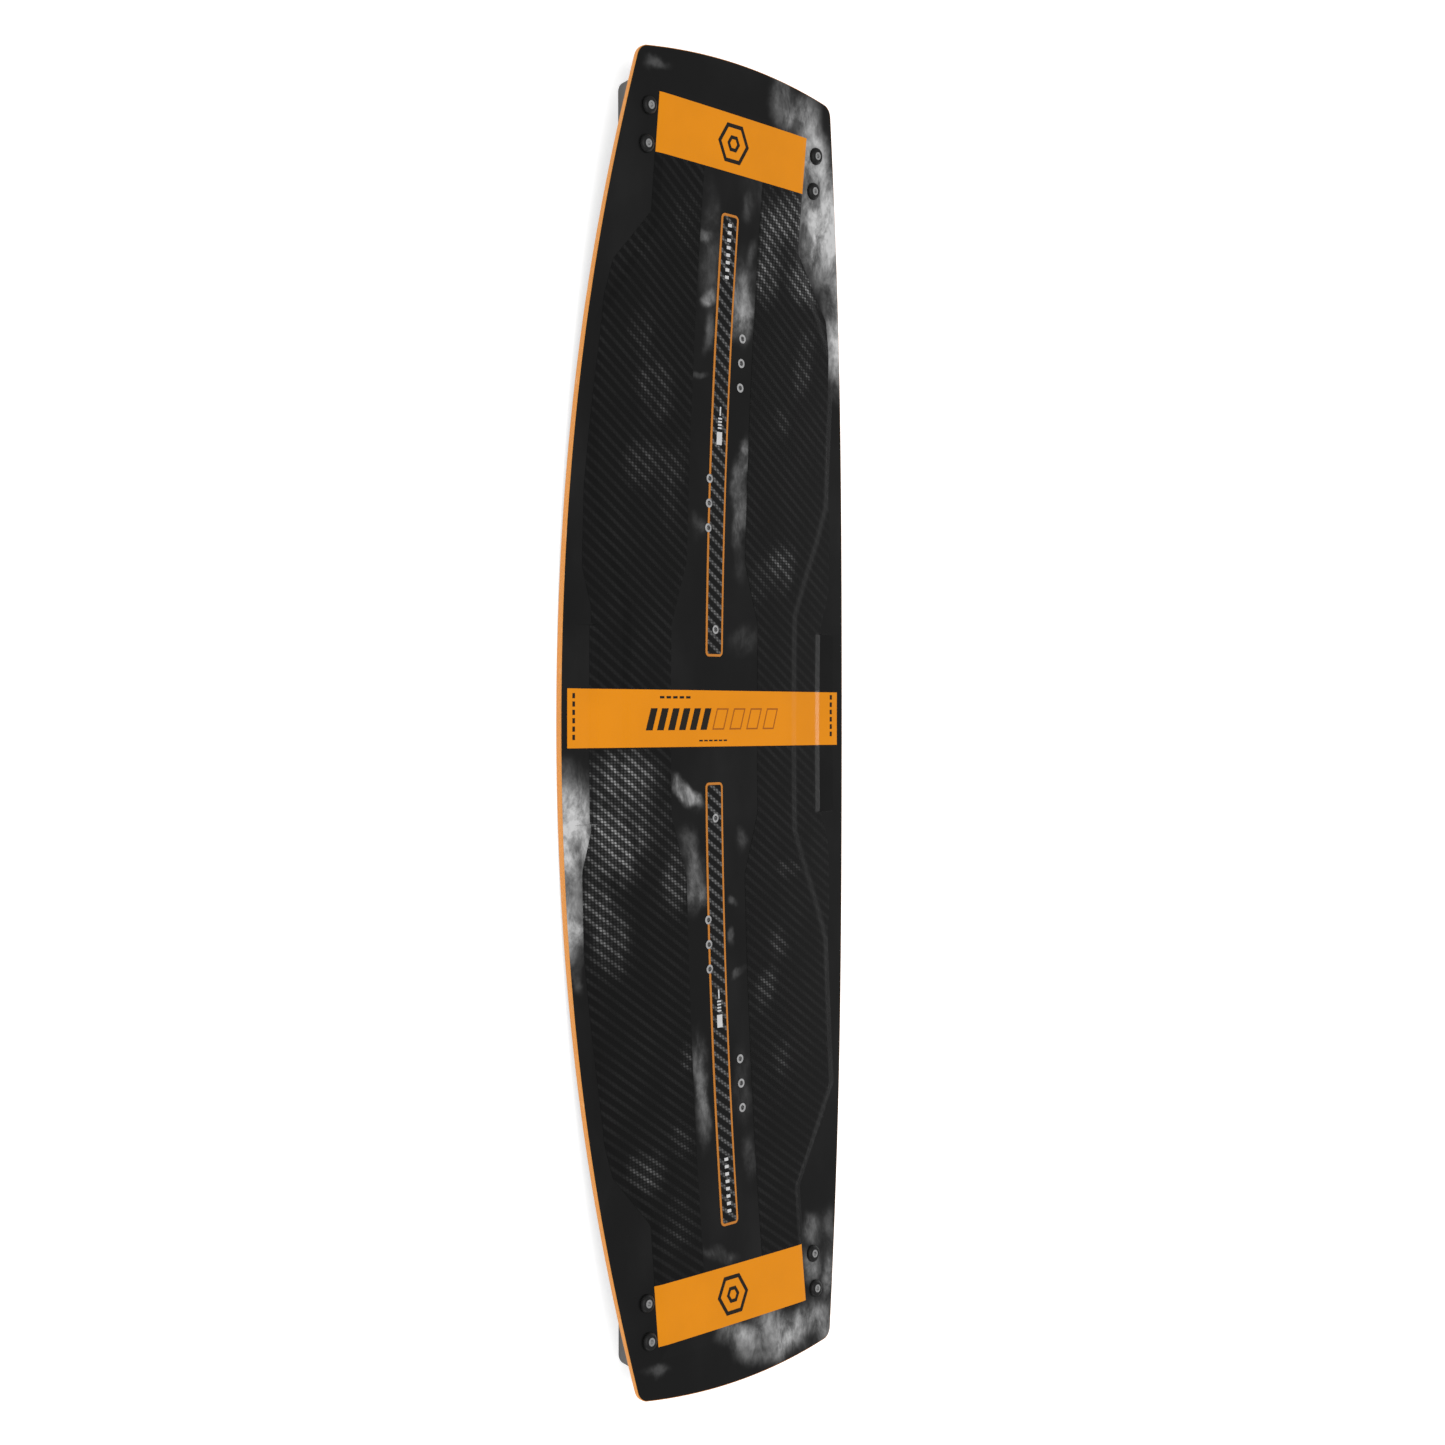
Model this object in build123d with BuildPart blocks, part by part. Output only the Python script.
"""Twin-tip kiteboard: moulded wood-core board with rails, threaded inserts and four bolt-on fins.

Row frame: +Y along the board, +X across it, +Z up out of the deck. The origin is on the floor
that the four fin tips stand on, under the middle of the board. All sizes are in millimetres.
"""

import os
from math import asin, degrees, radians, sin, cos, sqrt

from build123d import *

os.makedirs("parts", exist_ok=True)

# Board outline.
board_length = 1330.0
board_width = 405.0
half_length = board_length / 2
half_board = board_width / 2
corner_radius = 14.0
outline_stations = 9
tip_depth = 12.0

# Rocker, crown and thickness: both faces are swept about an axis across the board.
deck_rocker = 39.6
base_rocker = 43.3
crown_drop = 3.4
concave_drop = 1.4
board_thickness = 10.0
rail_clearance = 0.8
base_level = rail_clearance + concave_drop
deck_level = base_level + board_thickness

# Raised hourglass of the deck, as (half width, distance along the board) of its corners.
plateau_step = 1.0
plateau_corners = [(121, 115), (137, 155), (154, 195), (168, 235), (168, 390), (103, 490), (103, 616)]

# Grip facet along each side of the waist.
facet_inner = 156.0
facet_width = 10.0
facet_outer = 186.0
facet_depth = 2.0
facet_half_length = 97.0

# Layers of the board, from the deck down.
topsheet_thickness = 0.6
top_laminate_thickness = 0.7
bottom_laminate_thickness = 0.7
base_sheet_thickness = 0.8
rail_width = 10.0
sheet_inset = 1.2
tip_rail_half = 120.0

# Carbon stringers let into the deck on the centreline, each with a printed border.
stringer_centre = -1.8
stringer_width = 24.6
stringer_spans = {"front": (69.0, 517.0), "rear": (-510.0, -60.0)}
stringer_corner = 5.0
border_width = 2.6
border_height = 0.4
inlay_height = 0.7

# Threaded inserts for bindings and handle: M6 thread, drawn at its 5 mm minor diameter.
insert_pitch = 25.0
inner_row = (-13.0, 225.0)
outer_row = (26.0, 371.0)
handle_row = 96.7
insert_radius = 4.6
insert_bore_radius = 2.5
insert_bore_depth = 6.0
insert_length = 7.0
insert_flange_radius = 8.0
insert_flange_height = 1.2
insert_proud = 0.35
insert_mouth = 1.5

# Fins and their fastenings.
fin_offset = 120.0
fin_screw_centre = 581.5
fin_screw_half_spacing = 18.1
fin_root_half = 5.5
fin_tip_half = 2.4
fin_tip_outer = 628.0
fin_root_outer = 631.0
fin_tip_inner = 549.0
fin_root_inner = 506.0
fin_root_top = 48.0
fin_outer_radius = 7.0
fin_inner_radius = 28.0
fin_edge_radius = 1.2
washer_radius = 8.8
washer_height = 4.2
washer_shoulder = 1.4
washer_dome = (7.55, 3.44)
washer_top_radius = 5.9
washer_foot = 1.0
seat_clearance = 0.1
washer_hole_radius = 3.3
head_radius = 4.0
head_height = 2.1
screw_radius = 2.95
screw_length = 24.0
socket_across_flats = 4.0
socket_depth = 2.2
sleeve_radius = 5.0
nut_radius = 4.2
nut_bore_radius = 3.0
nut_depth = 25.0

# Extra reach of the solids that only cut or limit others.
facet_reach = 4.0
swing = 8.0
overhang = 230.0
depth_reach = 70.0
taper_margin = 1.0

top_stack = topsheet_thickness + top_laminate_thickness
bottom_stack = base_sheet_thickness + bottom_laminate_thickness


def arc_radius(rise, half_span):
    """Radius of the arc that rises by rise over half_span."""
    return (half_span**2 + rise**2) / (2 * rise)


deck_radius = arc_radius(deck_rocker, half_length)
base_radius = arc_radius(base_rocker, half_length)


def side_drop(x, drop):
    """How far a crowned face has dropped at x, when it drops by drop at the widest point."""
    radius = arc_radius(drop, half_board)
    return radius - sqrt(radius**2 - x**2)


def deck_height(x, y, step=0.0):
    """Height of the deck at a point, or of the lower deck outside the hourglass with step."""
    reach = deck_radius + side_drop(x, crown_drop) + step
    return deck_level + deck_radius - sqrt(reach**2 - y**2)


def half_width(y):
    """Half the board's width at a distance y along it."""
    t = (y / half_length) ** 2
    return half_board * (1 - 0.2667 * t - 0.1149 * t**2 + 0.047 * t**3)


def end_profile_plane(radius, level, angle):
    """Plane across the board, turned back by angle about a sweep axis that is radius above level."""
    turn = radians(angle)
    return Plane(
        origin=(0, -radius * sin(turn), level + radius - radius * cos(turn)),
        x_dir=(1, 0, 0),
        z_dir=(0, -cos(turn), sin(turn)),
    )


def swept_face(radius, level, drop, reach):
    """Solid on one side of a rockered, crowned face: reach is how far it goes, up or down."""
    edge = -side_drop(overhang, drop)
    with BuildPart() as swept:
        with BuildSketch(end_profile_plane(radius, level, swing)):
            with BuildLine():
                ThreePointArc((-overhang, edge), (0, 0), (overhang, edge))
                Polyline((overhang, edge), (overhang, reach), (-overhang, reach), (-overhang, edge))
            make_face()
        revolve(axis=Axis((0, 0, level + radius), (1, 0, 0)), revolution_arc=2 * swing)
    return swept.part


def plateau_prism(inset):
    """Upright prism over the hourglass, drawn in one quarter and mirrored, then drawn in by inset."""
    waist = plateau_corners[0][0]
    end_y = plateau_corners[-1][1]
    with BuildPart() as prism:
        with BuildSketch(Plane.XY.offset(-depth_reach)):
            with BuildLine():
                Polyline((0, 0), (waist, 0), *plateau_corners, (0, end_y), close=True)
            make_face()
            mirror(about=Plane.YZ)
            mirror(about=Plane.XZ)
            if inset > 0:
                offset(amount=-inset, kind=Kind.INTERSECTION, mode=Mode.REPLACE)
        extrude(amount=3 * depth_reach)
    return prism.part


def facet_wedge():
    """Wedge that cuts the grip facet on the +X side and the shallow slope outside it."""
    angle = 2 * degrees(asin(facet_half_length / deck_radius))
    fall = side_drop(facet_inner, crown_drop) + plateau_step
    floor = side_drop(facet_inner + facet_width, crown_drop) + plateau_step + facet_depth
    edge = side_drop(facet_outer, crown_drop) + plateau_step
    with BuildPart() as wedge:
        with BuildSketch(end_profile_plane(deck_radius, deck_level, angle)):
            with BuildLine():
                Polyline(
                    (facet_inner, -fall),
                    (facet_inner + facet_width, -floor),
                    (facet_outer, -edge),
                    (facet_outer, facet_reach),
                    (facet_inner, facet_reach),
                    close=True,
                )
            make_face()
        revolve(axis=Axis((0, 0, deck_level + deck_radius), (1, 0, 0)), revolution_arc=2 * angle)
        Box(2 * overhang, 2 * facet_half_length, 2 * depth_reach, mode=Mode.INTERSECT)
    return wedge.part


def board_prism(inset):
    """Upright prism over the board's outline, drawn in by inset."""
    end_y = half_length - inset
    # The tip's arc rises by tip_depth between its two corners, which are then rounded.
    corner_y = end_y - tip_depth
    corner_x = half_width(corner_y) - inset
    spacing = 2 * corner_y / (outline_stations - 1)
    stations = [spacing * i - corner_y for i in range(outline_stations)]
    side = [(half_width(y) - inset, y) for y in stations]
    with BuildPart() as prism:
        with BuildSketch(Plane.XY.offset(-depth_reach)) as face:
            with BuildLine():
                Spline(*side)
                ThreePointArc((corner_x, corner_y), (0, end_y), (-corner_x, corner_y))
                Spline(*[(-x, y) for x, y in side])
                ThreePointArc((corner_x, -corner_y), (0, -end_y), (-corner_x, -corner_y))
            make_face()
            fillet(face.vertices(), radius=max(corner_radius - inset, corner_radius / 2))
        extrude(amount=3 * depth_reach)
    return prism.part


def below_deck(drop):
    """Everything more than drop inside the deck: down from its faces and in from the hourglass's edge."""
    lowered = Location((0, 0, -drop))
    outer_lowered = Location((0, 0, -drop - plateau_step))
    face = swept_face(deck_radius, deck_level, crown_drop, -depth_reach)
    wedge = facet_wedge().moved(lowered)
    with BuildPart() as space:
        add(face.moved(lowered))
        add(plateau_prism(drop), mode=Mode.INTERSECT)
        add(face.moved(outer_lowered))
        add(wedge, mode=Mode.SUBTRACT)
        add(wedge.mirror(Plane.YZ), mode=Mode.SUBTRACT)
    return space.part


def above_base(rise):
    """Everything more than rise above the base."""
    face = swept_face(base_radius, base_level, concave_drop, depth_reach)
    return face.moved(Location((0, 0, rise)))


# The board's faces, and the faces between its layers.
deck_space = below_deck(0)
under_topsheet = below_deck(topsheet_thickness)
under_top_laminate = below_deck(top_stack)
base_space = above_base(0)
over_base_sheet = above_base(base_sheet_thickness)
over_bottom_laminate = above_base(bottom_stack)

board_space = board_prism(0)
sheet_space = board_prism(sheet_inset)
core_space = board_prism(rail_width)

# Insert places: name of the row, and the (x, y) of each insert in it.
insert_rows = {
    "binding_inserts_front_inner": (inner_row, 1),
    "binding_inserts_front_outer": (outer_row, 1),
    "binding_inserts_rear_inner": (inner_row, -1),
    "binding_inserts_rear_outer": (outer_row, -1),
}
insert_places = {
    name: [(row[0], end * row[1] + step * insert_pitch) for step in (-1, 0, 1)]
    for name, (row, end) in insert_rows.items()
}
insert_places["handle_inserts"] = [(0.0, handle_row), (0.0, -handle_row)]


def insert_blank(x, y, mouth=0.0):
    """Solid blank of a flanged insert standing upright in the deck at x, y, taller by mouth."""
    top = deck_height(x, y) + insert_proud
    foot = top - insert_proud - insert_length
    with BuildPart() as blank:
        with BuildSketch(Plane((x, y, foot))):
            Circle(insert_radius)
        extrude(amount=top + mouth - foot)
        with BuildSketch(Plane((x, y, foot))):
            Circle(insert_flange_radius)
        extrude(amount=insert_flange_height)
    return blank.part


def threaded_insert(x, y):
    """Insert with its blind threaded hole."""
    with BuildPart() as insert:
        add(insert_blank(x, y))
        with BuildSketch(Plane((x, y, deck_height(x, y) + insert_proud))):
            Circle(insert_bore_radius)
        extrude(amount=-insert_bore_depth, mode=Mode.SUBTRACT)
    return insert.part


# Fin fastening places: each fin's two screws share one direction, square to the deck between them.
fin_places = {
    "front_left": (-1, 1),
    "front_right": (1, 1),
    "rear_left": (-1, -1),
    "rear_right": (1, -1),
}


def screw_planes(side, end):
    """Planes on the deck at a fin's two screws, with Z along the screw."""
    tilt = asin(fin_screw_centre / deck_radius)
    x = side * fin_offset
    planes = []
    for step in (-1, 1):
        y = end * (fin_screw_centre + step * fin_screw_half_spacing)
        origin = (x, y, deck_height(x, y, plateau_step))
        planes.append(Plane(origin, x_dir=(1, 0, 0), z_dir=(0, -end * sin(tilt), cos(tilt))))
    return planes


def cylinders(planes, radius, start=-2 * board_thickness, length=3 * board_thickness):
    """One cylinder on each plane, from start along its Z, and right through the board by default."""
    with BuildPart() as group:
        for plane in planes:
            with BuildSketch(plane.offset(start)):
                Circle(radius)
            extrude(amount=length)
    return group.part


# Every hole through or into the board's layers, with a clear mouth over each insert.
with BuildPart() as pockets:
    for places in insert_places.values():
        for x, y in places:
            add(insert_blank(x, y, mouth=insert_mouth))
    for side, end in fin_places.values():
        add(cylinders(screw_planes(side, end), sleeve_radius))


def write(piece, label):
    """Label a finished piece and write its file."""
    piece.label = label
    export_step(piece, f"parts/{label}.step")


# Topsheet: the thin skin of the deck.
with BuildPart() as topsheet:
    add(sheet_space)
    add(deck_space, mode=Mode.INTERSECT)
    add(under_topsheet, mode=Mode.SUBTRACT)
    add(pockets.part, mode=Mode.SUBTRACT)
write(topsheet.part, "topsheet")

# Top laminate: fibre layer under the topsheet.
with BuildPart() as top_laminate:
    add(sheet_space)
    add(under_topsheet, mode=Mode.INTERSECT)
    add(under_top_laminate, mode=Mode.SUBTRACT)
    add(pockets.part, mode=Mode.SUBTRACT)
write(top_laminate.part, "top_laminate")

# Wood core: fills the board inside the rails.
with BuildPart() as wood_core:
    add(core_space)
    add(under_top_laminate, mode=Mode.INTERSECT)
    add(over_bottom_laminate, mode=Mode.INTERSECT)
    add(pockets.part, mode=Mode.SUBTRACT)
write(wood_core.part, "wood_core")

# Bottom laminate: fibre layer over the base sheet.
with BuildPart() as bottom_laminate:
    add(sheet_space)
    add(over_base_sheet, mode=Mode.INTERSECT)
    add(over_bottom_laminate, mode=Mode.SUBTRACT)
    add(pockets.part, mode=Mode.SUBTRACT)
write(bottom_laminate.part, "bottom_laminate")

# Base sheet: the running surface.
with BuildPart() as base_sheet:
    add(sheet_space)
    add(base_space, mode=Mode.INTERSECT)
    add(over_base_sheet, mode=Mode.SUBTRACT)
    add(pockets.part, mode=Mode.SUBTRACT)
write(base_sheet.part, "base_sheet")

# Rails: a ring round the core that comes out past the edges of the sheets.
with BuildPart() as rail_ring:
    add(board_space)
    add(deck_space, mode=Mode.INTERSECT)
    add(base_space, mode=Mode.INTERSECT)
    add(core_space, mode=Mode.SUBTRACT)

with BuildPart() as rail_cover:
    add(sheet_space)
    add(under_top_laminate, mode=Mode.SUBTRACT)

with BuildPart() as rail_floor:
    add(sheet_space)
    add(over_bottom_laminate, mode=Mode.SUBTRACT)

rail_zones = {
    "rail_left": ((-half_board / 2 - tip_rail_half / 2, 0), (half_board - tip_rail_half, board_length)),
    "rail_right": ((half_board / 2 + tip_rail_half / 2, 0), (half_board - tip_rail_half, board_length)),
    "rail_front": ((0, half_length / 2), (2 * tip_rail_half, half_length)),
    "rail_rear": ((0, -half_length / 2), (2 * tip_rail_half, half_length)),
}
for name, (centre, size) in rail_zones.items():
    with BuildPart() as rail:
        with BuildSketch(Plane.XY.offset(-depth_reach)):
            with Locations(centre):
                Rectangle(*size)
        extrude(amount=3 * depth_reach)
        add(rail_ring.part, mode=Mode.INTERSECT)
        add(rail_cover.part, mode=Mode.SUBTRACT)
        add(rail_floor.part, mode=Mode.SUBTRACT)
    write(rail.part, name)


def stringer_layer(span, inset, height):
    """Rounded strip on the centreline that stands height above the deck."""
    start, end = span
    width = stringer_width - 2 * inset
    length = end - start - 2 * inset
    deck_face = swept_face(deck_radius, deck_level, crown_drop, -depth_reach)
    with BuildPart() as strip:
        with BuildSketch(Plane.XY.offset(-depth_reach)):
            with Locations((stringer_centre, (start + end) / 2)):
                RectangleRounded(width, length, stringer_corner - inset)
        extrude(amount=3 * depth_reach)
        add(deck_face.moved(Location((0, 0, height))), mode=Mode.INTERSECT)
        add(deck_space, mode=Mode.SUBTRACT)
    return strip.part


for name, span in stringer_spans.items():
    with BuildPart() as stringer_inlay:
        add(stringer_layer(span, border_width, inlay_height))
        add(pockets.part, mode=Mode.SUBTRACT)
    write(stringer_inlay.part, f"stringer_inlay_{name}")

    with BuildPart() as stringer_border:
        add(stringer_layer(span, 0, border_height))
        add(stringer_layer(span, border_width, inlay_height), mode=Mode.SUBTRACT)
        add(pockets.part, mode=Mode.SUBTRACT)
    write(stringer_border.part, f"stringer_border_{name}")

# Threaded inserts, one node for each row.
for name, places in insert_places.items():
    with BuildPart() as inserts:
        for x, y in places:
            add(threaded_insert(x, y))
    write(inserts.part, name)


def fin_blank(side, end):
    """Fin plate, wider at its root, cut to the curve of the base."""
    x = side * fin_offset
    with BuildPart() as fin:
        with BuildSketch(Plane.YZ.offset(x - fin_root_half)) as outline:
            with BuildLine():
                Polyline(
                    (end * fin_root_inner, fin_root_top),
                    (end * fin_root_inner, base_level + base_rocker / 2),
                    (end * fin_tip_inner, 0),
                    (end * fin_tip_outer, 0),
                    (end * fin_root_outer, fin_root_top),
                    close=True,
                )
            make_face()
            tip_corners = outline.vertices().group_by(Axis.Y)[0].sort_by(Axis.X)
            fillet(tip_corners[-1 if end > 0 else 0], radius=fin_outer_radius)
            inner_corners = outline.vertices().group_by(Axis.Y)[0].sort_by(Axis.X)
            fillet(inner_corners[0 if end > 0 else -1], radius=fin_inner_radius)
        extrude(amount=2 * fin_root_half)
        with BuildSketch(Plane.XZ.offset(-end * half_length)):
            with BuildLine():
                Polyline(
                    (x - fin_tip_half, -taper_margin),
                    (x + fin_tip_half, -taper_margin),
                    (x + fin_root_half, base_level + base_rocker / 2),
                    (x + fin_root_half, fin_root_top + taper_margin),
                    (x - fin_root_half, fin_root_top + taper_margin),
                    (x - fin_root_half, base_level + base_rocker / 2),
                    close=True,
                )
            make_face()
        extrude(amount=end * half_length, mode=Mode.INTERSECT)
        add(base_space, mode=Mode.SUBTRACT)
        # The plate's outer edges are rounded everywhere but at the root.
        flanks = fin.faces().filter_by(lambda face: abs(face.normal_at().X) > 0.9)
        rim = fin.faces().filter_by(lambda face: abs(face.normal_at().X) < 0.1 and face.normal_at().Z < 0.5)
        rim_edges = rim.edges()
        fillet([edge for edge in flanks.edges() if edge in rim_edges], radius=fin_edge_radius)
    return fin.part


def washer_ring(plane):
    """Domed washer with a countersunk seat."""
    with BuildPart() as ring:
        with BuildSketch(Plane(plane.origin, x_dir=plane.x_dir, z_dir=-plane.y_dir)):
            with BuildLine():
                Polyline(
                    (washer_top_radius, washer_height),
                    (head_radius + seat_clearance, washer_height),
                    (washer_hole_radius, washer_height - head_height),
                    (washer_hole_radius, -washer_foot),
                    (washer_radius, -washer_foot),
                    (washer_radius, washer_shoulder),
                )
                ThreePointArc(
                    (washer_radius, washer_shoulder),
                    washer_dome,
                    (washer_top_radius, washer_height),
                )
            make_face()
        revolve(axis=Axis(plane.origin, plane.z_dir))
        add(deck_space, mode=Mode.SUBTRACT)
    return ring.part


def fin_screw(plane):
    """Countersunk M6 screw with a hexagon socket, its head level with the washer's top."""
    under_head = washer_height - head_height
    with BuildPart() as screw:
        with BuildSketch(plane.offset(under_head)):
            Circle(screw_radius)
        with BuildSketch(plane.offset(washer_height)):
            Circle(head_radius)
        loft()
        with BuildSketch(plane.offset(under_head)):
            Circle(screw_radius)
        extrude(amount=-screw_length)
        with BuildSketch(plane.offset(washer_height)):
            RegularPolygon(socket_across_flats / 2, 6, major_radius=False)
        extrude(amount=-socket_depth, mode=Mode.SUBTRACT)
    return screw.part


for name, (side, end) in fin_places.items():
    planes = screw_planes(side, end)

    with BuildPart() as fin_washers:
        for plane in planes:
            add(washer_ring(plane))
    write(fin_washers.part, f"fin_washers_{name}")

    with BuildPart() as fin_screws:
        for plane in planes:
            add(fin_screw(plane))
    write(fin_screws.part, f"fin_screws_{name}")

    # Sleeves that the screws pass through, as long as the board is thick there.
    with BuildPart() as fin_sleeves:
        add(cylinders(planes, sleeve_radius))
        add(deck_space, mode=Mode.INTERSECT)
        add(base_space, mode=Mode.INTERSECT)
        add(cylinders(planes, washer_hole_radius), mode=Mode.SUBTRACT)
    write(fin_sleeves.part, f"fin_sleeves_{name}")

    # Threaded nuts set in the fin's root, flush with the base.
    with BuildPart() as fin_nuts:
        add(cylinders(planes, nut_radius, -nut_depth, nut_depth))
        add(base_space, mode=Mode.SUBTRACT)
        add(cylinders(planes, nut_bore_radius, -screw_length, screw_length), mode=Mode.SUBTRACT)
    write(fin_nuts.part, f"fin_nuts_{name}")

    with BuildPart() as fin:
        add(fin_blank(side, end))
        add(cylinders(planes, nut_radius, -nut_depth, nut_depth), mode=Mode.SUBTRACT)
    write(fin.part, f"fin_{name}")
